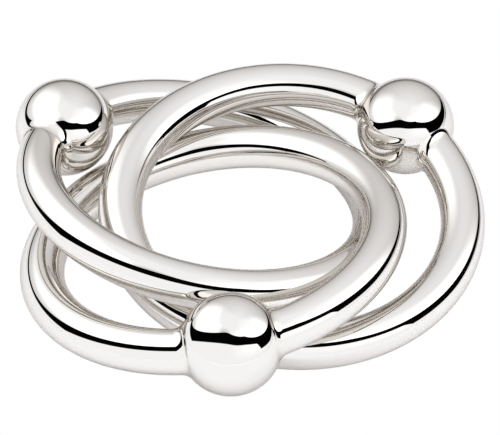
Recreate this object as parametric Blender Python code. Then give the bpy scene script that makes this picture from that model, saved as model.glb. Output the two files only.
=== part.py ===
"""Puzzle of three interlinked metal rings, each closed by one ball.

Every ring is the same: a round bar bent to a circle, whose two ends meet on a dowel inside a
bored ball, with a brazed fillet where the bar leaves the ball on either side. Each ring passes
through the two others, so the three lie in a low nest, every one over one neighbour and under
the next. Metres, +Z up, with the origin on the table under the middle of the nest.
"""

import math

import bmesh
import bpy
import numpy as np
from mathutils import Matrix, Vector

# Sizes of one ring
BAR_DIAMETER = 0.008
RING_RADIUS = 0.031  # to the middle of the bar
BALL_DIAMETER = 0.018
BALL_INSET = 0.0006  # how far the ball's centre lies inside the middle of the bar
FILLET_RADIUS = 0.0025  # of the brazed joint between bar and ball
SOCKET_DEPTH = 0.0015  # of the seat for the braze in each side of the ball
DOWEL_DIAMETER = 0.003
DOWEL_LENGTH = 0.008
GAP = 0.0003  # between neighbouring pieces, and between neighbouring rings

# How each ring lies in the nest: where its centre is over the table, how many bar diameters its
# high side rises by leaning on its neighbours, measured at the centre, and the headings of its
# low side and of its ball, in degrees from +X towards +Y.
NEST = {
    "left_ring": {"centre": (-0.00525, 0.00618), "rise": 0.842, "low_side": 29.6, "ball": 148.7},
    "right_ring": {"centre": (0.0099, 0.00159), "rise": 0.713, "low_side": -78.0, "ball": 43.8},
    "front_ring": {"centre": (-0.00465, -0.00777), "rise": 0.746, "low_side": 152.8, "ball": -85.6},
}
SETTLE_ROUNDS = 400
CIRCLE_POINTS = 360

# Facets
BAR_SIDES = 16
BAR_STEPS = 60
BALL_SIDES = 24
BALL_STEPS = 14
BORE_STEPS = 5
FILLET_STEPS = 4
DOWEL_SIDES = 12

# Values that follow from the sizes
BAR_RADIUS = BAR_DIAMETER / 2
BALL_RADIUS = BALL_DIAMETER / 2
BALL_DISTANCE = RING_RADIUS - BALL_INSET  # from the ring's centre to the ball's centre
DOWEL_RADIUS = DOWEL_DIAMETER / 2
BORE_RADIUS = BAR_RADIUS + GAP


# ---------------------------------------------------------------------------------------------
# Places on a ring. A ring is modelled flat round its own Z axis with the ball on its X axis.
# "along" is the angle round the ring from the ball, and "turn" the angle round the bar.


def round_bar(along, radius, turn):
    """The point at this radius from the bar's curved centre line."""
    out = RING_RADIUS + radius * math.cos(turn)
    return Vector((out * math.cos(along), out * math.sin(along), radius * math.sin(turn)))


def round_dowel(offset, radius, turn):
    """The point at this radius from the dowel's straight centre line, through the bar's ends."""
    return Vector((RING_RADIUS + radius * math.cos(turn), offset, radius * math.sin(turn)))


def along_at(radius, turn, distance):
    """Where, along the ring, a point at this radius round the bar is this far from the ball's
    centre."""
    out = RING_RADIUS + radius * math.cos(turn)
    rise = radius * math.sin(turn)
    cosine = (out**2 + BALL_DISTANCE**2 + rise**2 - distance**2) / (2 * out * BALL_DISTANCE)
    return math.acos(cosine)


def ball_surface(along, turn):
    """The point of the ball's surface straight out from the bar's centre line."""
    middle = round_bar(along, 0, turn)
    outward = (round_bar(along, 1, turn) - middle).normalized()
    from_ball = middle - Vector((BALL_DISTANCE, 0, 0))
    across = from_ball.dot(outward)
    reach = math.sqrt(across**2 - from_ball.length_squared + BALL_RADIUS**2) - across
    return middle + outward * reach


def braze_foot(turn):
    """Radius round the bar at which the fillet meets the ball, as it would on a straight bar,
    and so of the seat that holds the braze."""
    centre_along = along_at(BAR_RADIUS + FILLET_RADIUS, turn, BALL_RADIUS + FILLET_RADIUS)
    centre = round_bar(centre_along, BAR_RADIUS + FILLET_RADIUS, turn)
    ball_centre = Vector((BALL_DISTANCE, 0, 0))
    foot = ball_centre.lerp(centre, BALL_RADIUS / (BALL_RADIUS + FILLET_RADIUS))
    along = math.atan2(foot.y, foot.x)
    return (foot - round_bar(along, 0, turn)).length


# ---------------------------------------------------------------------------------------------
# Sections: the outline of each piece at one turn round the bar. The pieces are sleeves: the
# same outline carried once round.


def bar_section(turn):
    """From the bottom of one dowel hole, round the ring, to the bottom of the other."""
    hole_radius = DOWEL_RADIUS + GAP
    hole_depth = DOWEL_LENGTH / 2 + GAP
    end = GAP / 2 / RING_RADIUS
    step = (2 * math.pi - 2 * end) / BAR_STEPS
    outside = [round_bar(end + i * step, BAR_RADIUS, turn) for i in range(BAR_STEPS + 1)]
    return [
        round_dowel(hole_depth, hole_radius, turn),
        round_dowel(GAP / 2, hole_radius, turn),
        *outside,
        round_dowel(-GAP / 2, hole_radius, turn),
        round_dowel(-hole_depth, hole_radius, turn),
    ]


def dowel_section(turn):
    return [
        round_dowel(DOWEL_LENGTH / 2, DOWEL_RADIUS, turn),
        round_dowel(-DOWEL_LENGTH / 2, DOWEL_RADIUS, turn),
    ]


def ball_section(turn):
    """Over the ball, down into one braze seat, through the bore and up the other seat."""
    seat_radius = braze_foot(turn) + GAP
    edge = along_at(seat_radius, turn, BALL_RADIUS)
    floor = edge - SOCKET_DEPTH / RING_RADIUS
    section = []
    for i in range(BALL_STEPS + 1):
        along = -edge * math.cos(math.pi * i / BALL_STEPS)
        section.append(ball_surface(along, turn))
    section.append(round_bar(floor, seat_radius, turn))
    for i in range(BORE_STEPS + 1):
        section.append(round_bar(floor * (1 - 2 * i / BORE_STEPS), BORE_RADIUS, turn))
    section.append(round_bar(-floor, seat_radius, turn))
    return section


def braze_section(turn, side):
    """A ring of braze that fills the seat in the ball and runs out along the bar in a hollow
    fillet. side is 1 or -1, the side of the ball."""
    fillet_centre_radius = BAR_RADIUS + FILLET_RADIUS
    centre_along = along_at(fillet_centre_radius, turn, BALL_RADIUS + FILLET_RADIUS)
    centre = round_bar(centre_along, fillet_centre_radius, turn)
    to_ball = (Vector((BALL_DISTANCE, 0, 0)) - centre).normalized()
    to_bar = (round_bar(centre_along, 0, turn) - centre).normalized()
    # The fillet stops where it has thinned to the gap that the bar keeps.
    sweep = to_ball.angle(to_bar) - math.acos(1 - GAP / FILLET_RADIUS)
    axis = to_ball.cross(to_bar).normalized()
    seat_radius = braze_foot(turn)
    edge = along_at(seat_radius + GAP, turn, BALL_RADIUS)
    floor = edge - (SOCKET_DEPTH - GAP) / RING_RADIUS
    section = [round_bar(floor, BORE_RADIUS, turn), round_bar(floor, seat_radius, turn)]
    for i in range(FILLET_STEPS + 1):
        spoke = Matrix.Rotation(sweep * i / FILLET_STEPS, 3, axis) @ to_ball
        section.append(centre + spoke * FILLET_RADIUS)
    return [Vector((p.x, p.y * side, p.z)) for p in section]


# ---------------------------------------------------------------------------------------------
# Meshes and materials


def sleeve(name, section, sides, closed):
    """A mesh made of one outline per turn round the bar. A closed outline joins its last point
    to its first; an open one is capped at both ends. Half a side's turn puts an edge, not a
    flat, at the bottom of a leaning bar."""
    bm = bmesh.new()
    turns = [2 * math.pi * (k + 0.5) / sides for k in range(sides)]
    lines = [[bm.verts.new(p) for p in section(turn)] for turn in turns]
    count = len(lines[0])
    for k in range(sides):
        here = lines[k]
        there = lines[(k + 1) % sides]
        for i in range(count if closed else count - 1):
            j = (i + 1) % count
            bm.faces.new((here[i], here[j], there[j], there[i]))
    if not closed:
        bm.faces.new([line[0] for line in lines])
        bm.faces.new([line[-1] for line in reversed(lines)])
    bmesh.ops.recalc_face_normals(bm, faces=bm.faces)
    mesh = bpy.data.meshes.new(name)
    bm.to_mesh(mesh)
    bm.free()
    mesh.shade_smooth()
    mesh.set_sharp_from_angle(angle=math.radians(40))
    return mesh


def metal(name, colour, roughness):
    material = bpy.data.materials.new(name)
    material.use_nodes = True
    shader = material.node_tree.nodes["Principled BSDF"]
    shader.inputs["Base Color"].default_value = (*colour, 1)
    shader.inputs["Metallic"].default_value = 1
    shader.inputs["Roughness"].default_value = roughness
    return material


# ---------------------------------------------------------------------------------------------
# The nest. A ring's pose is its centre and three unit vectors: towards its ball, a quarter turn
# on from the ball, and along its axis.


def leaning_pose(centre, rise, low_side, ball):
    """The pose of a ring that leans towards its low side, with its ball on a heading."""
    lean = math.asin(rise * BAR_DIAMETER / RING_RADIUS)
    low = math.radians(low_side)
    axis = np.array([math.sin(lean) * math.cos(low), math.sin(lean) * math.sin(low), math.cos(lean)])
    heading = np.array([math.cos(math.radians(ball)), math.sin(math.radians(ball)), 0])
    # The direction in the ring's plane that lies over the heading.
    to_ball = heading - np.array([0, 0, 1]) * (heading @ axis) / axis[2]
    to_ball /= np.linalg.norm(to_ball)
    pose = {"centre": np.array([*centre, 0.0]), "turn": np.array([to_ball, np.cross(axis, to_ball), axis])}
    return rested(pose)


def rested(pose):
    """The same pose, raised or lowered until the ring just touches the table."""
    to_ball, _, axis = pose["turn"]
    bar_height = BAR_RADIUS + RING_RADIUS * math.sqrt(1 - axis[2] ** 2)
    ball_height = BALL_RADIUS - BALL_DISTANCE * to_ball[2]
    pose["centre"][2] = max(bar_height, ball_height)
    return pose


def centre_line(pose):
    angles = np.arange(CIRCLE_POINTS) * 2 * math.pi / CIRCLE_POINTS
    spokes = np.outer(np.cos(angles), pose["turn"][0]) + np.outer(np.sin(angles), pose["turn"][1])
    return pose["centre"] + RING_RADIUS * spokes


def ball_centre(pose):
    return pose["centre"] + BALL_DISTANCE * pose["turn"][0]


def closest(first, second):
    """The two nearest points of two sets."""
    apart = np.linalg.norm(first[:, None] - second[None], axis=2)
    i, j = np.unravel_index(apart.argmin(), apart.shape)
    return first[i], second[j]


def push(pose, point, shove):
    """Moves a ring by half of a shove at one of its points, and turns it by the other half."""
    arm = point - pose["centre"]
    spin = np.cross(arm, shove) / (2 * max(arm @ arm, 1e-9))
    pose["centre"] = pose["centre"] + shove / 2
    turned = pose["turn"] + np.cross(spin, pose["turn"])
    axis = turned[2] / np.linalg.norm(turned[2])
    to_ball = turned[0] - axis * (turned[0] @ axis)
    to_ball /= np.linalg.norm(to_ball)
    pose["turn"] = np.array([to_ball, np.cross(axis, to_ball), axis])


def settle(poses):
    """Pushes rings apart wherever two are closer than GAP, as after a change of size, and
    leaves them alone where none are."""
    pairs = [(a, b) for i, a in enumerate(poses) for b in poses[i + 1 :]]
    for _ in range(SETTLE_ROUNDS):
        moved = False
        for a, b in pairs:
            meetings = [
                (centre_line(a), centre_line(b), BAR_DIAMETER),
                (ball_centre(a)[None], centre_line(b), BALL_RADIUS + BAR_RADIUS),
                (centre_line(a), ball_centre(b)[None], BALL_RADIUS + BAR_RADIUS),
                (ball_centre(a)[None], ball_centre(b)[None], BALL_DIAMETER),
            ]
            for first, second, sizes in meetings:
                p, q = closest(first, second)
                apart = np.linalg.norm(p - q)
                short = sizes + GAP - apart
                if short > 0:
                    # A little over half the shortfall each, so that the gap is soon reached.
                    shove = (p - q) / apart * short * 0.55
                    push(a, p, shove)
                    push(b, q, -shove)
                    moved = True
        if not moved:
            return
        for pose in poses:
            rested(pose)


def centred(poses):
    """Moves the whole nest until the middle of its outline is over the origin."""
    for side in (0, 1):
        low = []
        high = []
        for pose in poses:
            reach = RING_RADIUS * math.sqrt(1 - pose["turn"][2][side] ** 2) + BAR_RADIUS
            ball = ball_centre(pose)[side]
            low += [pose["centre"][side] - reach, ball - BALL_RADIUS]
            high += [pose["centre"][side] + reach, ball + BALL_RADIUS]
        middle = (min(low) + max(high)) / 2
        for pose in poses:
            pose["centre"][side] -= middle


# ---------------------------------------------------------------------------------------------
# The model


def clear_scene():
    for obj in list(bpy.data.objects):
        bpy.data.objects.remove(obj, do_unlink=True)


def place(name, mesh, material, parent):
    """One piece of a ring, in the ring's own frame. The copies in the three rings share it."""
    if not mesh.materials:
        mesh.materials.append(material)
    piece = bpy.data.objects.new(name, mesh)
    bpy.context.scene.collection.objects.link(piece)
    piece.parent = parent


def main():
    clear_scene()
    polished = metal("polished_chrome", (0.86, 0.85, 0.84), 0.04)
    braze = metal("polished_braze", (0.84, 0.83, 0.81), 0.07)
    steel = metal("bright_steel", (0.6, 0.6, 0.61), 0.3)
    pieces = [
        ("bar", sleeve("bar", bar_section, BAR_SIDES, closed=False), polished),
        ("ball", sleeve("ball", ball_section, BALL_SIDES, closed=True), polished),
        ("dowel", sleeve("dowel", dowel_section, DOWEL_SIDES, closed=False), steel),
    ]
    for side_name, side in (("braze_before_ball", -1), ("braze_after_ball", 1)):
        mesh = sleeve(side_name, lambda turn, s=side: braze_section(turn, s), BAR_SIDES, closed=True)
        pieces.append((side_name, mesh, braze))

    poses = [leaning_pose(**lie) for lie in NEST.values()]
    settle(poses)
    centred(poses)
    for ring_name, pose in zip(NEST, poses, strict=True):
        # The ring's empty stands at its centre, which its swivel axis runs through.
        ring = bpy.data.objects.new(ring_name, None)
        bpy.context.scene.collection.objects.link(ring)
        turn = Matrix(pose["turn"].T.tolist()).to_4x4()
        ring.matrix_world = Matrix.Translation(Vector(pose["centre"].tolist())) @ turn
        for piece_name, mesh, material in pieces:
            place(f"{ring_name}_{piece_name}", mesh, material, ring)


main()
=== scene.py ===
# %% [markdown]
# # Three linked rings, polished and shot in a light tent
#
# The object is a pocket puzzle of three bright metal rings. Each ring is a round bar bent to a
# circle. Its two ends meet inside a bored ball, where a hidden dowel lines them up, and a small
# hollow fillet of braze closes each side of the ball. Every ring passes through the two others.
#
# The CAD model already holds the sizes, the joints and the way the rings lie. Its solids are
# faceted, though, and a mirror shows every facet. So this lesson measures each ring on the CAD
# solids, makes every polished piece again with a fine surface in the same place, gives it a
# mirror finish, and then builds what a mirror needs most: something good to reflect.

# %% Load the frame
import math

import bmesh
import bpy
import numpy as np
from mathutils import Matrix, Vector


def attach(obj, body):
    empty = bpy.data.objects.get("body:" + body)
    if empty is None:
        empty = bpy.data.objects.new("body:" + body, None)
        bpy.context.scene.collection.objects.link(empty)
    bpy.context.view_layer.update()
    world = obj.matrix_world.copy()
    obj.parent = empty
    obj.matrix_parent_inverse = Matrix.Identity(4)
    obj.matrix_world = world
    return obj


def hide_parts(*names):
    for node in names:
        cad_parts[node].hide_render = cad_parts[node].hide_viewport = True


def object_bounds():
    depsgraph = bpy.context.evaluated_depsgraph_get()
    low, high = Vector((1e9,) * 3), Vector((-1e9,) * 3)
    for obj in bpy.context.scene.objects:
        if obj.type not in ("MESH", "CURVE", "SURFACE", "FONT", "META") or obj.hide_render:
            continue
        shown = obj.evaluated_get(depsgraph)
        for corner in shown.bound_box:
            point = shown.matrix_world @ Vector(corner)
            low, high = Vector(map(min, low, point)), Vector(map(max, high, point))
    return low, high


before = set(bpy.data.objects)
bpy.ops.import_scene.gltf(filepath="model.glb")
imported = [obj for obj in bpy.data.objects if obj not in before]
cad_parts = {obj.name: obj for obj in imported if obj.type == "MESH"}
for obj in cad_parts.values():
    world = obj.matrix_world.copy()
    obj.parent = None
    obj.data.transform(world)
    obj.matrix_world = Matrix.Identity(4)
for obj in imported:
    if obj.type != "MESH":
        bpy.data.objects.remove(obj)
cad_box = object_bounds()
RINGS = ("front_ring", "left_ring", "right_ring")
print("CAD pieces:", len(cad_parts))

# %% [markdown]
# ## Measuring a ring
#
# A ring could be measured by fitting a torus to all of its points, which takes a solver. Two
# sections of the bar are enough, and they need only averages. One is inside the ball, where the
# dowel lies along the bar's centre line. The other is straight across the ring from it. The
# first gives the direction in which the bar runs through the ball, and the two together give
# the ring's middle, its radius, and the way it faces.

# %% Points of a CAD piece
FAR_FROM_BALL = 0.02
ON_SECTION = 0.0001
OUTSIDE_OF_BALL = 0.0083


def points_of(node):
    return np.array([vertex.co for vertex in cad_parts[node].data.vertices], float)


def long_direction(points):
    """The direction in which the points spread most."""
    return np.linalg.svd(points - points.mean(0), full_matrices=False)[2][0]


for ring in RINGS:
    print(ring, "bar:", len(points_of(f"{ring}_bar")), "points")

# %% [markdown]
# The ball's own middle lies a little inside the bar's centre line. A sphere has one centre and
# one radius that fit all of its outer points, and this is a straight least-squares sum, because
# the squares of the coordinates move to one side.

# %% Centre and radius of a ball


def sphere_through(points):
    rows = np.column_stack([2 * points, np.ones(len(points))])
    x, y, z, rest = np.linalg.lstsq(rows, (points**2).sum(1), rcond=None)[0]
    centre = np.array([x, y, z])
    return centre, math.sqrt(rest + centre @ centre)


cube = np.array([(x, y, z) for x in (-1, 1) for y in (-1, 1) for z in (-1, 1)], float)
print("a cube's corners lie on radius", round(sphere_through(cube)[1], 3))

# %% Measure the three rings


def measured(ring):
    dowel = points_of(f"{ring}_dowel")
    bar = points_of(f"{ring}_bar")
    in_ball = dowel.mean(0)
    tangent = long_direction(dowel)
    offset = bar - in_ball
    far = np.linalg.norm(offset, axis=1) > FAR_FROM_BALL
    across = (abs(offset @ tangent) < ON_SECTION) & far
    opposite = bar[across].mean(0)
    to_ball = (in_ball - opposite) / np.linalg.norm(in_ball - opposite)
    axis = np.cross(to_ball, tangent)
    if axis[2] < 0:
        axis, tangent = -axis, -tangent
    ball = points_of(f"{ring}_ball")
    outer = np.linalg.norm(ball - in_ball, axis=1) > OUTSIDE_OF_BALL
    ball_centre, ball_radius = sphere_through(ball[outer])
    centre = (in_ball + opposite) / 2
    pose = np.eye(4)
    pose[:3, 0] = to_ball
    pose[:3, 1] = tangent
    pose[:3, 2] = axis
    pose[:3, 3] = centre
    return {
        "pose": Matrix(pose.tolist()),
        "ring_radius": np.linalg.norm(in_ball - opposite) / 2,
        "bar_radius": np.linalg.norm(bar[across] - opposite, axis=1).mean(),
        "ball_radius": ball_radius,
        "ball_distance": (ball_centre - centre) @ to_ball,
        "dowel_radius": np.linalg.norm(
            (dowel - in_ball) - np.outer((dowel - in_ball) @ tangent, tangent), axis=1
        ).max(),
        "dowel_length": np.ptp(dowel @ tangent),
    }


measures = {ring: measured(ring) for ring in RINGS}

# %% [markdown]
# The three rings are alike, so one set of sizes, taken from the front ring, serves them all.
# Three
# values are not measured: the hollow radius of the brazed fillet, the play between a piece and
# its hole, and the depth of the countersink that the braze sits in.

# %% Sizes shared by the rings
same = measures["front_ring"]
RING_RADIUS = same["ring_radius"]
BAR_RADIUS = same["bar_radius"]
BALL_RADIUS = same["ball_radius"]
BALL_DISTANCE = same["ball_distance"]
FILLET_RADIUS = 0.0025
PLAY = 0.0003
SEAT_DEPTH = 0.0015
print("shared ring radius:", round(RING_RADIUS * 1000, 3), "mm")

# %% [markdown]
# ## The bent bar
#
# On the real puzzle this is drawn rod, cut to length, drilled at both ends and rolled to a
# circle. A primitive torus would look the same at first, but it has no ends, and the ends are
# real here: they meet inside the ball with a hair's width between them. A section carried along
# an arc is how the bar is really shaped, so Geometry Nodes do just that. Each end cap is then
# inset to the size of the dowel's hole and pushed in, which drills the hole.

# %% A tree with named inputs
BAR_INPUTS = (
    ("Ring Radius", "NodeSocketFloat", RING_RADIUS),
    ("Bar Radius", "NodeSocketFloat", BAR_RADIUS),
    ("Gap Between Ends", "NodeSocketFloat", PLAY),
    ("Hole Radius", "NodeSocketFloat", same["dowel_radius"] + PLAY),
    ("Hole Depth", "NodeSocketFloat", same["dowel_length"] / 2),
    ("Steps Along", "NodeSocketInt", 360),
    ("Sides Round", "NodeSocketInt", 96),
)


def new_tree(name, inputs):
    tree = bpy.data.node_groups.new(name, "GeometryNodeTree")
    tree.is_modifier = True
    for label, kind, value in inputs:
        socket = tree.interface.new_socket(name=label, in_out="INPUT", socket_type=kind)
        socket.default_value = value
    tree.interface.new_socket(name="Finish", in_out="INPUT", socket_type="NodeSocketMaterial")
    tree.interface.new_socket(name="Mesh", in_out="OUTPUT", socket_type="NodeSocketGeometry")
    return tree


def add_node(tree, kind, inputs=None, **settings):
    """A node with its settings made and its inputs linked or filled in by name or number."""
    node = tree.nodes.new(kind)
    for name, value in settings.items():
        setattr(node, name, value)
    for name, value in (inputs or {}).items():
        if isinstance(value, bpy.types.NodeSocket):
            tree.links.new(value, node.inputs[name])
        else:
            node.inputs[name].default_value = value
    return node


def divided(tree, top, bottom):
    return add_node(tree, "ShaderNodeMath", {0: top, 1: bottom}, operation="DIVIDE").outputs[0]


print("inputs:", ", ".join(label for label, _, _ in BAR_INPUTS))

# %% Bend the rod and drill its ends


CORNERS_OF_A_SIDE = 4


def bar_tree():
    tree = new_tree("bent_bar", BAR_INPUTS)
    given = tree.nodes.new("NodeGroupInput").outputs
    opening = divided(tree, given["Gap Between Ends"], given["Ring Radius"])
    start = divided(tree, opening, 2.0)
    sweep = add_node(tree, "ShaderNodeMath", {0: 2 * math.pi, 1: opening}, operation="SUBTRACT")
    arc = add_node(
        tree,
        "GeometryNodeCurveArc",
        {
            "Resolution": given["Steps Along"],
            "Radius": given["Ring Radius"],
            "Start Angle": start,
            "Sweep Angle": sweep.outputs[0],
        },
    )
    upright = add_node(
        tree, "GeometryNodeSetCurveNormal", {"Curve": arc.outputs["Curve"]}, mode="Z_UP"
    )
    section = add_node(
        tree,
        "GeometryNodeCurvePrimitiveCircle",
        {"Resolution": given["Sides Round"], "Radius": given["Bar Radius"]},
    )
    rod = add_node(
        tree,
        "GeometryNodeCurveToMesh",
        {
            "Curve": upright.outputs["Curve"],
            "Profile Curve": section.outputs["Curve"],
            "Fill Caps": True,
        },
    )
    corners = add_node(tree, "GeometryNodeInputMeshFaceNeighbors")
    is_cap = add_node(
        tree,
        "FunctionNodeCompare",
        {2: corners.outputs["Vertex Count"], 3: CORNERS_OF_A_SIDE},
        data_type="INT",
        operation="GREATER_THAN",
    )
    rim = add_node(
        tree,
        "GeometryNodeExtrudeMesh",
        {"Mesh": rod.outputs["Mesh"], "Selection": is_cap.outputs["Result"], "Offset Scale": 0.0},
        mode="FACES",
    )
    share = divided(tree, given["Hole Radius"], given["Bar Radius"])
    mouth = add_node(
        tree,
        "GeometryNodeScaleElements",
        {"Geometry": rim.outputs["Mesh"], "Selection": rim.outputs["Top"], "Scale": share},
    )
    inward = add_node(
        tree, "ShaderNodeMath", {0: given["Hole Depth"], 1: -1.0}, operation="MULTIPLY"
    )
    hole = add_node(
        tree,
        "GeometryNodeExtrudeMesh",
        {
            "Mesh": mouth.outputs["Geometry"],
            "Selection": rim.outputs["Top"],
            "Offset Scale": inward.outputs[0],
        },
        mode="FACES",
    )
    real = add_node(tree, "GeometryNodeRealizeInstances", {"Geometry": hole.outputs["Mesh"]})
    finished = add_node(
        tree,
        "GeometryNodeSetMaterial",
        {"Geometry": real.outputs["Geometry"], "Material": given["Finish"]},
    )
    add_node(tree, "NodeGroupOutput", {"Mesh": finished.outputs["Geometry"]})
    return tree


BENT_BAR = bar_tree()
print("bent_bar tree:", len(BENT_BAR.nodes), "nodes")

# %% [markdown]
# ## The mirror finish
#
# The rings are plated and buffed, so the finish is nearly a perfect mirror. Plating is never
# quite even: a buffing wheel leaves broad, very shallow waves, which bend a reflected edge a
# little, and a faint haze of hairlines that makes some spots less sharp than others. Both come
# from noise on Object coordinates, so they stay on the metal as it moves. The metal's colour is
# the same everywhere and is set on the shader itself. It is slightly warm, which hardly shows
# in one reflection and clearly where light has bounced between the rings.

# %% Metal with haze, hairlines and waves
HAZE_SCALE, HAZE_DETAIL = 90.0, 3.0
LINE_TURN = (0.4, 0.3, 0.9)
LINE_STRETCH = (60, 900, 900)
LINE_SCALE, LINE_DETAIL = 6.0, 2.0
LEAST_HAZE, MOST_HAZE = 0.12, 0.42
SWELL_SCALE, SWELL_DETAIL = 130.0, 1.0


def metal(name, colour, edge, sharpest, dullest, wave, hairline):
    material = bpy.data.materials.new(name)
    material.use_nodes = True
    tree = material.node_tree
    shader = tree.nodes["Principled BSDF"]
    shader.inputs["Base Color"].default_value = (*colour, 1)
    shader.inputs["Metallic"].default_value = 1
    shader.inputs["Specular Tint"].default_value = (*edge, 1)
    place = add_node(tree, "ShaderNodeTexCoord").outputs["Object"]
    haze = add_node(
        tree,
        "ShaderNodeTexNoise",
        {"Vector": place, "Scale": HAZE_SCALE, "Detail": HAZE_DETAIL},
    )
    streaks = add_node(
        tree,
        "ShaderNodeMapping",
        {"Vector": place, "Rotation": LINE_TURN, "Scale": LINE_STRETCH},
    )
    lines = add_node(
        tree,
        "ShaderNodeTexNoise",
        {"Vector": streaks.outputs["Vector"], "Scale": LINE_SCALE, "Detail": LINE_DETAIL},
    )
    mixed = add_node(
        tree,
        "ShaderNodeMath",
        {0: haze.outputs["Fac"], 1: lines.outputs["Fac"]},
        operation="MULTIPLY",
    )
    gloss = add_node(
        tree,
        "ShaderNodeMapRange",
        {
            "Value": mixed.outputs[0],
            "From Min": LEAST_HAZE,
            "From Max": MOST_HAZE,
            "To Min": sharpest,
            "To Max": dullest,
        },
    )
    tree.links.new(gloss.outputs["Result"], shader.inputs["Roughness"])
    swell = add_node(
        tree,
        "ShaderNodeTexNoise",
        {"Vector": place, "Scale": SWELL_SCALE, "Detail": SWELL_DETAIL},
    )
    waves = add_node(
        tree,
        "ShaderNodeBump",
        {"Height": swell.outputs["Fac"], "Strength": 1.0, "Distance": wave},
    )
    scratches = add_node(
        tree,
        "ShaderNodeBump",
        {
            "Height": lines.outputs["Fac"],
            "Strength": 1.0,
            "Distance": hairline,
            "Normal": waves.outputs["Normal"],
        },
    )
    tree.links.new(scratches.outputs["Normal"], shader.inputs["Normal"])
    return material


EDGE = (0.7, 0.68, 0.66)
CHROME_COLOUR = (0.745, 0.718, 0.68)
BRAZE_COLOUR = (0.75, 0.72, 0.67)
STEEL_COLOUR = (0.56, 0.56, 0.57)
CHROME = metal("chrome", CHROME_COLOUR, EDGE, 0.001, 0.006, wave=0.0000015, hairline=0.00000002)
BRAZE = metal("braze", BRAZE_COLOUR, EDGE, 0.01, 0.03, wave=0.00001, hairline=0.00000005)
STEEL = metal("steel", STEEL_COLOUR, EDGE, 0.22, 0.38, wave=0.00001, hairline=0.000004)
print("finishes:", CHROME.name, BRAZE.name, STEEL.name)

# %% [markdown]
# ## From tree to mesh
#
# Each bar starts as an empty mesh with the tree as its modifier. The inputs are set by the
# sockets' identifiers before the first evaluation. The result is copied out as a plain mesh,
# and the ring's pose is put into its points, so the finished object itself sits at the origin,
# unturned, as the CAD pieces do. Then it rides with its ring and stands for the CAD bar.

# %% Helpers for a finished piece
SHARP = math.radians(40)


def input_ids(tree):
    return {
        item.name: item.identifier
        for item in tree.interface.items_tree
        if item.item_type == "SOCKET" and item.in_out == "INPUT"
    }


def grown(name, tree, values):
    """The plain mesh that a tree makes with these values."""
    start = bpy.data.objects.new(name, bpy.data.meshes.new(name))
    bpy.context.scene.collection.objects.link(start)
    modifier = start.modifiers.new("shape", "NODES")
    modifier.node_group = tree
    ids = input_ids(tree)
    for label, value in values.items():
        modifier[ids[label]] = value
    graph = bpy.context.evaluated_depsgraph_get()
    mesh = bpy.data.meshes.new_from_object(start.evaluated_get(graph))
    start.modifiers.clear()
    bpy.data.objects.remove(start)
    mesh.name = name
    return mesh


def fit_piece(piece_name, mesh, ring, slot, *stands_for):
    mesh.transform(measures[ring]["pose"])
    mesh.shade_smooth()
    mesh.set_sharp_from_angle(angle=SHARP)
    name = f"{ring}_{piece_name}"
    mesh.name = name
    piece = bpy.data.objects.new(name, mesh)
    bpy.context.scene.collection.objects.link(piece)
    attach(piece, ring)
    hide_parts(*stands_for)
    print(name, len(mesh.polygons), "faces")
    return piece


print("the bar tree has", len(input_ids(BENT_BAR)), "inputs")

# %% Make the three bars
for ring in RINGS:
    values = {label: value for label, _, value in BAR_INPUTS} | {"Finish": CHROME}
    bar_mesh = grown("bar", BENT_BAR, values)
    fit_piece("bent_bar", bar_mesh, ring, "chrome", f"{ring}_bar")

# %% [markdown]
# ## Ball and braze
#
# The ball is turned, bored through for the bar and countersunk on both sides, and the braze
# fills the countersinks and runs out on the bar. A Boolean of sphere and torus would leave
# ragged triangles right at the joint, where the mirror shows them most. Both pieces are sleeves
# round the bar instead: one outline is worked out for each turn round the bar, and the outlines
# are joined up. The same turns are used for the ball and the braze, so they meet point to point.
#
# "along" is the angle round the ring, counted from the ball, and "turn" the angle round the bar.

# %% Places round the bar


def round_bar(along, radius, turn):
    """The point at this radius from the bar's curved centre line."""
    out = RING_RADIUS + radius * math.cos(turn)
    return Vector((out * math.cos(along), out * math.sin(along), radius * math.sin(turn)))


def along_at(radius, turn, distance):
    """Where a point at this radius round the bar is this far from the ball's centre."""
    out = RING_RADIUS + radius * math.cos(turn)
    rise = radius * math.sin(turn)
    cosine = (out**2 + BALL_DISTANCE**2 + rise**2 - distance**2) / (2 * out * BALL_DISTANCE)
    return math.acos(cosine)


def ball_surface(along, turn):
    """The point of the ball's surface straight out from the bar's centre line."""
    middle = round_bar(along, 0, turn)
    outward = (round_bar(along, 1, turn) - middle).normalized()
    from_ball = middle - Vector((BALL_DISTANCE, 0, 0))
    inside = from_ball.dot(outward)
    reach = math.sqrt(inside**2 - from_ball.length_squared + BALL_RADIUS**2) - inside
    return middle + outward * reach


ball_top = ball_surface(0, math.pi / 2)
print("the ball stands", round(ball_top.z * 1000, 2), "mm over the bar's centre line")

# %% [markdown]
# A fillet is what a small ball leaves as it rolls round the joint and touches both pieces. So
# its centre is one fillet radius off the bar and one off the ball, and the arc between the two
# touching points runs smoothly into both surfaces.

# %% The rolling ball


def fillet_at(turn):
    """Centre of the rolling ball, and its directions to the ball and to the bar."""
    off_bar = BAR_RADIUS + FILLET_RADIUS
    along = along_at(off_bar, turn, BALL_RADIUS + FILLET_RADIUS)
    centre = round_bar(along, off_bar, turn)
    to_ball = (Vector((BALL_DISTANCE, 0, 0)) - centre).normalized()
    to_bar = (round_bar(along, 0, turn) - centre).normalized()
    return centre, to_ball, to_bar


def seat_radius(turn):
    """Radius of the countersink round the bar. It stays just inside the fillet's foot, so the
    ball's edge is always covered."""
    centre, to_ball, _ = fillet_at(turn)
    foot = centre + to_ball * FILLET_RADIUS
    along = math.atan2(foot.y, foot.x)
    return (foot - round_bar(along, 0, turn)).length - PLAY / 2


for place, turn in (("outside", 0), ("inside", math.pi)):
    print("countersink's radius", place, "the ring:", round(seat_radius(turn) * 1000, 2), "mm")

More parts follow.
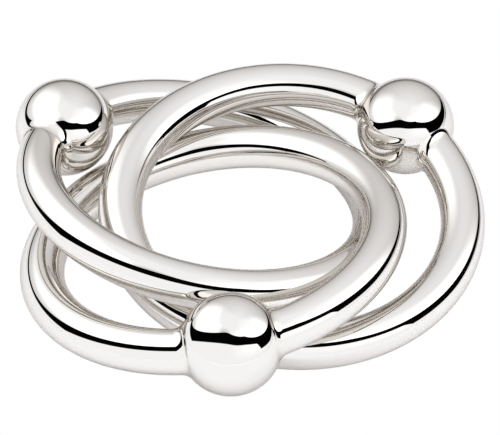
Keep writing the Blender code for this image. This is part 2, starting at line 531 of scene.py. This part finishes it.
# %% Outlines of the ball and the braze
BALL_STEPS = 120
BORE_STEPS = 12
FILLET_STEPS = 40


def ball_outline(turn):
    """Over the ball, down into one countersink, through the bore and up the other."""
    seat = seat_radius(turn)
    edge = along_at(seat, turn, BALL_RADIUS)
    floor = edge - SEAT_DEPTH / RING_RADIUS
    bore = BAR_RADIUS + PLAY
    outline = []
    for i in range(BALL_STEPS + 1):
        outline.append(ball_surface(-edge * math.cos(math.pi * i / BALL_STEPS), turn))
    outline.append(round_bar(floor, seat, turn))
    for i in range(BORE_STEPS + 1):
        outline.append(round_bar(floor * (1 - 2 * i / BORE_STEPS), bore, turn))
    outline.append(round_bar(-floor, seat, turn))
    return outline


def braze_outline(turn, side):
    """From the floor of the countersink up over the ball's edge, and down the hollow fillet."""
    seat = seat_radius(turn)
    edge = along_at(seat, turn, BALL_RADIUS)
    floor = edge - SEAT_DEPTH / RING_RADIUS
    centre, to_ball, to_bar = fillet_at(turn)
    axis = to_ball.cross(to_bar).normalized()
    sweep = to_ball.angle(to_bar)
    outline = [round_bar(floor, BAR_RADIUS, turn), round_bar(floor, seat, turn)]
    outline.append(ball_surface(edge, turn))
    for i in range(FILLET_STEPS + 1):
        spoke = Matrix.Rotation(sweep * i / FILLET_STEPS, 3, axis) @ to_ball
        outline.append(centre + spoke * FILLET_RADIUS)
    return [Vector((p.x, p.y * side, p.z)) for p in outline]


print("outlines:", len(ball_outline(0)), "and", len(braze_outline(0, 1)), "points")

# %% Join the outlines into a sleeve
SLEEVE_SIDES = 96


def sleeve(name, outline, finish):
    bm = bmesh.new()
    turns = [2 * math.pi * (k + 0.5) / SLEEVE_SIDES for k in range(SLEEVE_SIDES)]
    lines = [[bm.verts.new(point) for point in outline(turn)] for turn in turns]
    count = len(lines[0])
    for k in range(SLEEVE_SIDES):
        here = lines[k]
        there = lines[(k + 1) % SLEEVE_SIDES]
        for i in range(count):
            j = (i + 1) % count
            bm.faces.new((here[i], here[j], there[j], there[i]))
    bmesh.ops.recalc_face_normals(bm, faces=bm.faces)
    mesh = bpy.data.meshes.new(name)
    bm.to_mesh(mesh)
    bm.free()
    mesh.materials.append(finish)
    return mesh


print("a sleeve has", SLEEVE_SIDES, "sides")

# %% Make the balls and the brazed joints
SIDES_OF_BALL = (("braze_before_ball", -1), ("braze_after_ball", 1))
for ring in RINGS:
    fit_piece("bored_ball", sleeve("ball", ball_outline, CHROME), ring, "chrome", f"{ring}_ball")
    for braze_name, side in SIDES_OF_BALL:
        braze_mesh = sleeve(braze_name, lambda turn, s=side: braze_outline(turn, s), BRAZE)
        fit_piece(f"fine_{braze_name}", braze_mesh, ring, "braze", f"{ring}_{braze_name}")

# %% [markdown]
# ## Dowels
#
# The dowels are short pins of bright drawn steel, and the ball hides them. Their CAD shape is
# already right, so they stay and only get a better finish.

# %% Finish the dowels
for ring in RINGS:
    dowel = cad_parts[f"{ring}_dowel"]
    dowel.data.materials.clear()
    dowel.data.materials.append(STEEL)
    print(dowel.name, "in", STEEL.name)

# %% [markdown]
# ## The light tent
#
# A mirror has no look of its own. It shows the room, so the room is the real lighting. Shiny
# metal is shot in a white tent that is open towards the camera. The cloth glows, and the opening
# shows in every curved surface as one crisp black line, which is what makes metal look like
# metal. The opening tapers away to both sides. The cloth behind gets less light, so it falls
# off to a warm grey near the table.
#
# A World shader would be the cheapest tent, but it is endlessly far away, and every ball and bar
# would see it from the same place. A real tent stands so near that the left ring sees another
# part of it than the right one. So the tent is a stretched sphere round the rings, and its inside
# glows. The camera looks straight through it.

# %% The tent as a shell
TENT_MIDDLE = (0.06, 0.0, 0.01)
TENT_REACH = (0.2, 0.28, 0.24)
TENT_SEGMENTS, TENT_RINGS = 96, 48

tent_mesh = bpy.data.meshes.new("light_tent")
bm = bmesh.new()
bmesh.ops.create_uvsphere(bm, u_segments=TENT_SEGMENTS, v_segments=TENT_RINGS, radius=1.0)
bmesh.ops.scale(bm, vec=TENT_REACH, verts=bm.verts)
bmesh.ops.reverse_faces(bm, faces=bm.faces)
bm.to_mesh(tent_mesh)
bm.free()
tent = bpy.data.objects.new("light_tent", tent_mesh)
tent.location = TENT_MIDDLE
tent.location.z += cad_box[0][2]
tent.visible_camera = False
tent.visible_shadow = False
bpy.context.scene.collection.objects.link(tent)
cloth_glow = bpy.data.materials.new("tent_cloth")
cloth_glow.use_nodes = True
tent_mesh.materials.append(cloth_glow)
sky = cloth_glow.node_tree
sky.nodes.clear()
cloth_glow.cycles.emission_sampling = "NONE"
print("tent:", [round(2 * reach, 2) for reach in TENT_REACH], "m across")

# %% [markdown]
# Each place on the cloth is turned into a heading, counted from the camera's side, and a height
# over the level of the tent's middle, both as seen from that middle. The tent's edges are simple
# curves of these two.

# %% Places on the tent as heading and height


def maths(operation, first, second=0.0):
    node = add_node(sky, "ShaderNodeMath", {0: first, 1: second}, operation=operation)
    return node.outputs[0]


def ranged(value, start, end, low, high, kind="LINEAR"):
    """The value's way from start to end, carried over to low and high."""
    inputs = {"Value": value, "From Min": start, "From Max": end, "To Min": low, "To Max": high}
    return add_node(sky, "ShaderNodeMapRange", inputs, interpolation_type=kind).outputs["Result"]


def mixed_colour(share, first, second):
    inputs = {"Factor": share, "A": first, "B": second}
    node = add_node(sky, "ShaderNodeMix", None, data_type="RGBA")
    for slot_name, value in inputs.items():
        socket = next(s for s in node.inputs if s.name == slot_name and s.enabled)
        if isinstance(value, bpy.types.NodeSocket):
            sky.links.new(value, socket)
        else:
            socket.default_value = value
    return next(s for s in node.outputs if s.enabled)


DEGREE = 180 / math.pi
on_tent = add_node(sky, "ShaderNodeTexCoord").outputs["Object"]
direction = add_node(sky, "ShaderNodeVectorMath", {0: on_tent}, operation="NORMALIZE").outputs[0]
parts = add_node(sky, "ShaderNodeSeparateXYZ", {"Vector": direction}).outputs
towards_camera = maths("MULTIPLY", parts["Y"], -1.0)
heading = maths("MULTIPLY", maths("ARCTAN2", parts["X"], towards_camera), DEGREE)
to_side = maths("ABSOLUTE", heading)
height = maths("MULTIPLY", maths("ARCSINE", parts["Z"]), DEGREE)
print("heading and height:", len(sky.nodes), "nodes so far")

# %% [markdown]
# The upper edge of the opening is a little over 50 degrees high in front, and comes down to a
# few degrees behind the sides. The lower edge is the straight top of the white board that closes
# the tent in front: level in the middle, and then dropping away as the board is seen more and
# more from its end. On the right the board ends sooner, and a low sill goes on from it.

# %% The opening
EDGE_BLUR = 0.5
HIGHEST_LEFT, HIGHEST_RIGHT = 52.5, 51.5
RISE = math.tan(math.radians(34.2))
LEFT_IS_OVER, RIGHT_IS_REACHED = -30.0, 30.0
on_right = ranged(heading, LEFT_IS_OVER, RIGHT_IS_REACHED, 0.0, 1.0, "SMOOTHSTEP")


def by_side(left, right):
    """left's value on the left and right's on the right, blended in front."""
    return maths("ADD", left, maths("MULTIPLY", on_right, maths("SUBTRACT", right, left)))


def straight_edge(level_until, hurry):
    """The height of a board's straight top edge, level at first and then seen more and more
    from its end."""
    turned = maths("MAXIMUM", maths("SUBTRACT", to_side, level_until), 0.0)
    facing = maths("COSINE", maths("MULTIPLY", turned, hurry / DEGREE))
    return maths("MULTIPLY", maths("ARCTANGENT", maths("MULTIPLY", facing, RISE)), DEGREE)


LOWEST_LEFT, LOWEST_RIGHT = 5.0, 4.0
LEFT_FALL = (33.0, 112.0)
RIGHT_FALL = (20.0, 150.0)
upper_edge = by_side(
    ranged(to_side, *LEFT_FALL, HIGHEST_LEFT, LOWEST_LEFT, "SMOOTHSTEP"),
    ranged(to_side, *RIGHT_FALL, HIGHEST_RIGHT, LOWEST_RIGHT),
)
GROUND = 1.5
SILL = 9.0
BOARD_ENDS = (47.0, 58.0)
SILL_FALL = (55.0, 88.0)
LEFT_LEVEL, LEFT_HURRY = 15.0, 1.25
RIGHT_LEVEL, RIGHT_HURRY = 5.0, 1.1
right_board_ends = ranged(to_side, *BOARD_ENDS, 1.0, 0.0, "SMOOTHSTEP")
past_board = ranged(to_side, *SILL_FALL, SILL, GROUND)
right_board = maths("MULTIPLY", right_board_ends, straight_edge(RIGHT_LEVEL, RIGHT_HURRY))
lower_edge = by_side(
    maths("MAXIMUM", straight_edge(LEFT_LEVEL, LEFT_HURRY), GROUND),
    maths("MAXIMUM", right_board, past_board),
)


def over(edge):
    """0 below an edge and 1 above it, with a soft step."""
    above = maths("SUBTRACT", height, edge)
    return ranged(above, -EDGE_BLUR, EDGE_BLUR, 0.0, 1.0, "SMOOTHSTEP")


over_upper = over(upper_edge)
over_lower = over(lower_edge)
over_table = over(0.0)
print("opening:", len(sky.nodes), "nodes so far")

# %% [markdown]
# The cloth is brightest at both sides, plain white straight up, and falls off behind. A colour
# ramp over the height holds each of these, and the heading blends one into the other.

# %% The cloth


HALFWAY = 0.5
LOW_CLOTH = (0.62, 0.62, 0.63)
WHITE_CLOTH = (0.85, 0.865, 0.89)
LIT_LEFT = (1.4, 1.43, 1.47)
LIT_RIGHT = (1.6, 1.63, 1.67)
OVERHEAD = (0.945, 0.968, 1.01)


def ramp(value, stops):
    node = add_node(sky, "ShaderNodeValToRGB", {"Fac": value})
    elements = node.color_ramp.elements
    while len(elements) < len(stops):
        elements.new(HALFWAY)
    for element, (position, colour) in zip(elements, stops, strict=True):
        element.position = position
        element.color = (*colour, 1)
    return node.outputs["Color"]


up_share = ranged(height, 0.0, 90.0, 0.0, 1.0)
behind = ramp(
    up_share,
    (
        (0.0, (0.1, 0.09, 0.085)),
        (0.05, (0.27, 0.255, 0.25)),
        (0.16, (0.56, 0.555, 0.56)),
        (0.35, (0.685, 0.685, 0.705)),
        (0.65, (0.82, 0.83, 0.865)),
        (1.0, OVERHEAD),
    ),
)
beside_left = ramp(
    up_share,
    (
        (0.0, LOW_CLOTH),
        (0.12, WHITE_CLOTH),
        (0.2, LIT_LEFT),
        (0.46, LIT_LEFT),
        (0.62, (0.96, 0.985, 1.02)),
        (1.0, OVERHEAD),
    ),
)
beside_right = ramp(
    up_share,
    (
        (0.0, LOW_CLOTH),
        (0.12, WHITE_CLOTH),
        (0.25, LIT_RIGHT),
        (0.6, LIT_RIGHT),
        (0.75, (1.08, 1.11, 1.15)),
        (1.0, (0.96, 0.99, 1.03)),
    ),
)
beside = mixed_colour(on_right, beside_left, beside_right)
print("ramps:", len(sky.nodes), "nodes so far")

# %% [markdown]
# The darker back of the tent starts sooner on the right than on the left. The board gets
# brighter towards its top and its right end.

# %% The cloth behind, and the board
BACK_SHIFT = 12.0
BACK_STARTS, BACK_REACHED = 100.0, 145.0
BOARD = (0.965, 0.985, 1.03, 1)
BRIGHT_BOARD = (1.16, 1.18, 1.22, 1)
DARK = (0.001, 0.001, 0.001, 1)
BOARD_TOP = 22.0
BOARD_BRIGHTENS = (-20.0, 40.0)
sideways = maths("SINE", maths("MULTIPLY", heading, 1 / DEGREE))
turned_away = maths("ADD", to_side, maths("MULTIPLY", sideways, BACK_SHIFT))
backness = ranged(turned_away, BACK_STARTS, BACK_REACHED, 0.0, 1.0, "SMOOTHSTEP")
bare_cloth = mixed_colour(backness, beside, behind)
up_the_board = ranged(height, 0.0, BOARD_TOP, 0.0, 1.0, "SMOOTHSTEP")
brighter = maths("MULTIPLY", up_the_board, ranged(heading, *BOARD_BRIGHTENS, 0.0, 1.0))
board = mixed_colour(brighter, BOARD, BRIGHT_BOARD)
far_table = mixed_colour(backness, board, DARK)
print("cloth and board:", len(sky.nodes), "nodes so far")

# %% [markdown]
# The camera and whoever stands behind it take a little light from the cloth, so there is a soft
# grey patch at the opening's upper edge, on the left.

# %% Shade over the lens
SHADE_HEADING, SHADE_HEIGHT = -45.0, 46.0
SHADE_WIDTH, SHADE_RISE = 28.0, 14.0
beside_shade = maths("DIVIDE", maths("SUBTRACT", heading, SHADE_HEADING), SHADE_WIDTH)
over_shade = maths("DIVIDE", maths("SUBTRACT", height, SHADE_HEIGHT), SHADE_RISE)
squares = maths("ADD", maths("POWER", beside_shade, 2.0), maths("POWER", over_shade, 2.0))
from_shade = maths("SQRT", squares)
DEEPEST_SHADE = 0.7
SHADE_GREY = (0.2, 0.2, 0.2, 1)
shade = ranged(from_shade, 0.0, 1.0, DEEPEST_SHADE, 0.0, "SMOOTHSTEP")
cloth = mixed_colour(shade, bare_cloth, SHADE_GREY)
print("shade:", len(sky.nodes), "nodes so far")

# %% [markdown]
# Over the upper edge is cloth, between the edges is the dark opening, and below the lower edge is
# the board. Below the level of the middle the board goes on in front, and the back is dark.

# %% Put the tent together
TENT_BRIGHTNESS = 1.25
opening_or_cloth = mixed_colour(over_upper, DARK, cloth)
front = mixed_colour(over_lower, board, opening_or_cloth)
inside = mixed_colour(over_table, far_table, front)
glow = add_node(sky, "ShaderNodeEmission", {"Color": inside, "Strength": TENT_BRIGHTNESS})
add_node(sky, "ShaderNodeOutputMaterial", {"Surface": glow.outputs["Emission"]})
print("tent cloth:", len(sky.nodes), "nodes")

# %% [markdown]
# The camera sees neither tent nor table, so a plain white world fills the picture behind the
# rings.

# %% White behind everything
world = bpy.data.worlds.new("white_wall")
world.use_nodes = True
bpy.context.scene.world = world
wall = world.node_tree.nodes["Background"]
wall.inputs["Color"].default_value = (1, 1, 1, 1)
wall.inputs["Strength"].default_value = 1.0
print("behind everything:", world.name)

# %% [markdown]
# ## Table and lamp
#
# The table is a round sheet of white card, and it is there for the metal, which reflects it. The
# camera doesn't see it, so a ring that swings below the table's level is not cut off. A broad
# lamp overhead lights the card, without showing in the metal. The card also glows a little:
# that glow is painted fill light, which lightens the shadows of the rings on the card.

# %% The table
TABLE_RADIUS = 0.4
TABLE_SEGMENTS = 128
CARD_COLOUR = (0.915, 0.92, 0.945, 1)
CARD_PAINTED_FILL_GLOW = (0.97, 0.98, 1.0, 1)
CARD_PAINTED_FILL_STRENGTH = 0.14
FIBRE_SCALE, FIBRE_DETAIL = 600.0, 4.0
SMOOTHEST_CARD, ROUGHEST_CARD = 0.85, 1.0
table_mesh = bpy.data.meshes.new("table")
bm = bmesh.new()
bmesh.ops.create_circle(bm, cap_ends=True, segments=TABLE_SEGMENTS, radius=TABLE_RADIUS)
bm.to_mesh(table_mesh)
bm.free()
table = bpy.data.objects.new("table", table_mesh)
bpy.context.scene.collection.objects.link(table)
table.location.z = cad_box[0][2]
table.visible_camera = False
card = bpy.data.materials.new("card")
card.use_nodes = True
paper = card.node_tree
fibre = add_node(paper, "ShaderNodeTexNoise", {"Scale": FIBRE_SCALE, "Detail": FIBRE_DETAIL})
shader = paper.nodes["Principled BSDF"]
shader.inputs["Base Color"].default_value = CARD_COLOUR
# The card's glow is painted fill light: it lightens the rings' shadows on the card.
shader.inputs["Emission Color"].default_value = CARD_PAINTED_FILL_GLOW
shader.inputs["Emission Strength"].default_value = CARD_PAINTED_FILL_STRENGTH
rough = add_node(
    paper,
    "ShaderNodeMapRange",
    {"Value": fibre.outputs["Fac"], "To Min": SMOOTHEST_CARD, "To Max": ROUGHEST_CARD},
)
paper.links.new(rough.outputs["Result"], shader.inputs["Roughness"])
table_mesh.materials.append(card)
print("table:", 2 * TABLE_RADIUS, "m across")

# %% The lamp
LAMP_SIZE = 0.8
LAMP_POWER = 2.1
LAMP_HEIGHT = 0.9
lamp_data = bpy.data.lights.new("lamp", "AREA")
lamp_data.size = LAMP_SIZE
lamp_data.energy = LAMP_POWER
lamp = bpy.data.objects.new("lamp", lamp_data)
lamp.location = (0, 0, LAMP_HEIGHT)
lamp.visible_glossy = False
bpy.context.scene.collection.objects.link(lamp)
print("lamp:", LAMP_POWER, "W")

# %% [markdown]
# ## The camera
#
# The camera looks down at the nest at about forty degrees, from a few degrees beside the front
# ball. It has a long lens, two thirds of a metre away, so the far ring is hardly smaller than the
# near one.

# %% Aim the camera
LOOK_AT = Vector((-0.00019, 0.00099, 0.0115))
CAMERA_HEADING = math.radians(-2.419)
CAMERA_HEIGHT = math.radians(39.53)
CAMERA_TILT = math.radians(0.716)
CAMERA_DISTANCE = 0.65864
LENS = 264.2

back = Vector(
    (
        math.sin(CAMERA_HEADING) * math.cos(CAMERA_HEIGHT),
        -math.cos(CAMERA_HEADING) * math.cos(CAMERA_HEIGHT),
        math.sin(CAMERA_HEIGHT),
    )
)
level = Vector((0, 0, 1)).cross(back).normalized()
upward = back.cross(level)
turned = Matrix((level, upward, back)).transposed() @ Matrix.Rotation(CAMERA_TILT, 3, "Z")
camera_data = bpy.data.cameras.new("camera")
camera_data.lens = LENS
camera = bpy.data.objects.new("camera", camera_data)
camera.matrix_world = Matrix.Translation(LOOK_AT + back * CAMERA_DISTANCE) @ turned.to_4x4()
bpy.context.scene.collection.objects.link(camera)
bpy.context.scene.camera = camera
print("camera at", [round(x, 3) for x in camera.matrix_world.translation])

# %% [markdown]
# ## Picture settings
#
# The Standard view keeps white white. Light bounces many times between the rings before it
# leaves them, so more glossy bounces are allowed than usual, or the gaps would turn black.

# %% View and bounces
BOUNCES = 16
scene = bpy.context.scene
scene.view_settings.view_transform = "Standard"
scene.cycles.max_bounces = BOUNCES
scene.cycles.glossy_bounces = BOUNCES
scene.cycles.blur_glossy = 0
print("bounces:", BOUNCES)
